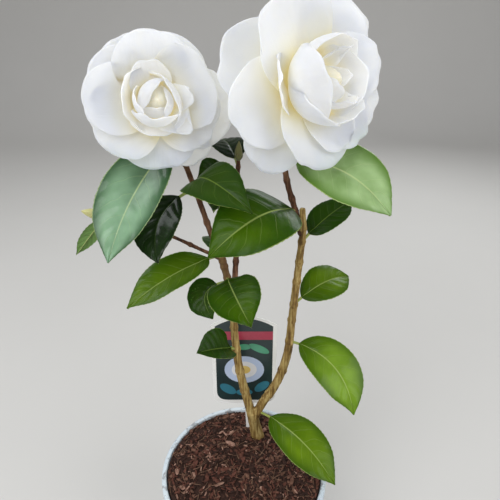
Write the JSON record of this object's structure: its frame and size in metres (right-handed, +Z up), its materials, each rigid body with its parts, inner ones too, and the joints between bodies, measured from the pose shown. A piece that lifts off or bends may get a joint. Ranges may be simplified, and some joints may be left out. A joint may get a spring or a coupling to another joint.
{
  "type": "potted camellia shrub",
  "caption": "Young camellia shrub in a round tapered pot of bark compost: a forked trunk, slender stems, glossy pointed leaves, large white double blooms, buds and a plain picture label.",
  "frame": {"origin": "middle of the pot's flat underside", "axes": "+Z up, -Y towards the side that the blooms face"},
  "size_m": [0.2218, 0.1735, 0.5214],
  "materials": {
    "pot_plastic": "satin pale blue-grey plastic",
    "bark_compost": "damp shredded bark",
    "printed_card": "glossy printed plastic card",
    "old_bark": "matt tan streaked bark",
    "young_bark": "smooth red-brown bark",
    "leaf": "glossy waxy leaf",
    "bud_scale": "satin yellow-green scales",
    "petal": "soft white petal"
  },
  "bodies": {
    "root": {"pot": "pot_plastic", "compost": "bark_compost", "label": "printed_card", "trunk": "old_bark", "stem_left": "old_bark", "stem_right": "old_bark", "shoot_left": "young_bark", "shoot_right": "young_bark", "shoot_centre": "young_bark", "twig_left": "young_bark", "leaf_under_left_bloom": "leaf", "leaf_dark_left": "leaf", "leaf_left_middle": "leaf", "leaf_far_left": "leaf", "leaf_between_blooms": "leaf", "leaf_big_centre": "leaf", "leaf_small_centre": "leaf", "leaf_top_centre_left": "leaf", "leaf_top_centre_back": "leaf", "leaf_low_centre": "leaf", "leaf_low_left": "leaf", "leaf_by_label": "leaf", "leaf_under_right_bloom": "leaf", "leaf_dark_right": "leaf", "leaf_right_middle": "leaf", "leaf_right_lower": "leaf", "leaf_over_pot": "leaf", "leaf_back_left_bloom": "leaf", "leaf_back_high": "leaf", "leaf_back_right_bloom": "leaf", "leaf_back_top": "leaf", "leaf_back_centre": "leaf", "leaf_back_middle": "leaf", "leaf_back_low": "leaf", "bud_left": "bud_scale", "bud_centre": "bud_scale", "calyx_left": "bud_scale", "calyx_right": "bud_scale", "bloom_left": "petal", "bloom_right": "petal"}
  },
  "joints": []
}
